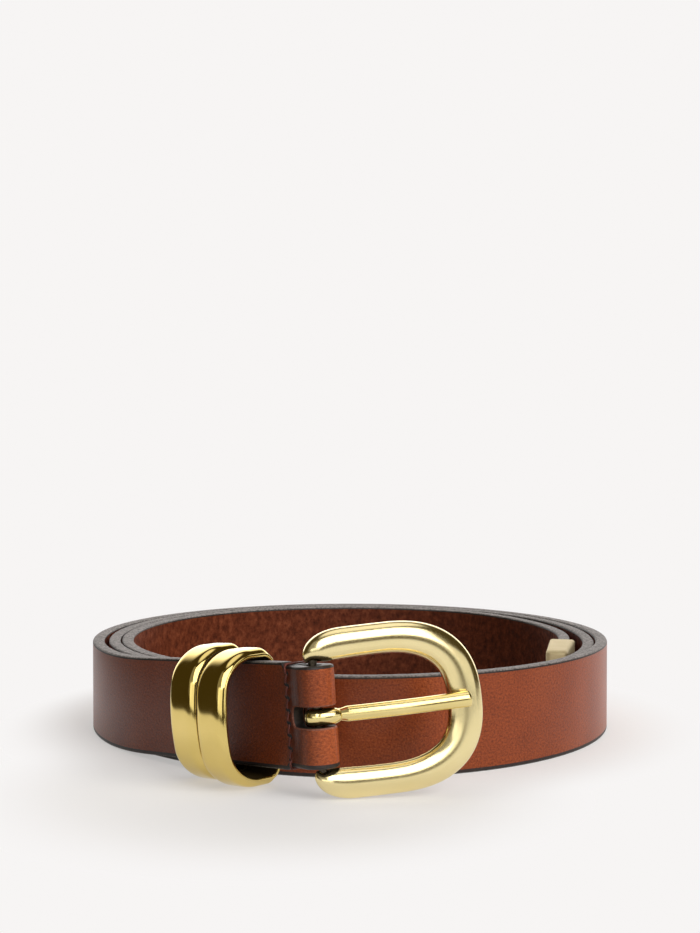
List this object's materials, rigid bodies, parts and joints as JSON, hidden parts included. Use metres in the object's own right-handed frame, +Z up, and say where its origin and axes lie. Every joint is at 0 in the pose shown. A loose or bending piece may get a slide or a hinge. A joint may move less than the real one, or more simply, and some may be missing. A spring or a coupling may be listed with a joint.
{
  "type": "leather belt",
  "caption": "Slim dress belt rolled into a standing coil: two-layer leather strap, horseshoe buckle with a hinged tongue, domed metal keepers and a metal tip.",
  "frame": {"origin": "axis of the coil on the surface that the strap stands on", "axes": "+Z up along the coil's axis, +X along the straight buckle end, +Y from that end toward the coil"},
  "size_m": [0.1614, 0.1612, 0.0406],
  "materials": {
    "leather": "smooth full grain with a low sheen, painted edges",
    "lining": "smooth lining leather, slightly mottled",
    "thread": "waxed thread",
    "brass": "pale gold, satin to polished",
    "steel": "plain turned steel"
  },
  "bodies": {
    "strap": {"strap_outer": "leather", "strap_lining": "lining", "chape_stitching": "thread", "tip_cap": "brass", "tip_screw": "steel"},
    "buckle": {"buckle_frame": "brass", "buckle_bar": "steel"},
    "tongue": {"tongue": "brass"},
    "keeper_inner": {"keeper_inner": "brass"},
    "keeper_outer": {"keeper_outer": "brass"}
  },
  "joints": [
    {"name": "buckle_swing", "type": "hinge", "parent": "strap", "child": "buckle", "pos_m": [0.06075, -0.07125, 0.01913], "axis": [0.1146, 0.0316, -0.9929], "range_deg": [-21, 70]},
    {"name": "tongue_swing", "type": "hinge", "parent": "buckle", "child": "tongue", "pos_m": [0.06075, -0.07125, 0.01913], "axis": [0.1146, 0.0316, -0.9929], "range_deg": [0, 80]},
    {"name": "keeper_inner_slide", "type": "slide", "parent": "strap", "child": "keeper_inner", "axis": [0.9959, 0, 0.0901], "range_m": [-0.0025, 0]},
    {"name": "keeper_outer_slide", "type": "slide", "parent": "strap", "child": "keeper_outer", "axis": [0.9959, 0, 0.0901], "range_m": [0, 0.006]}
  ]
}
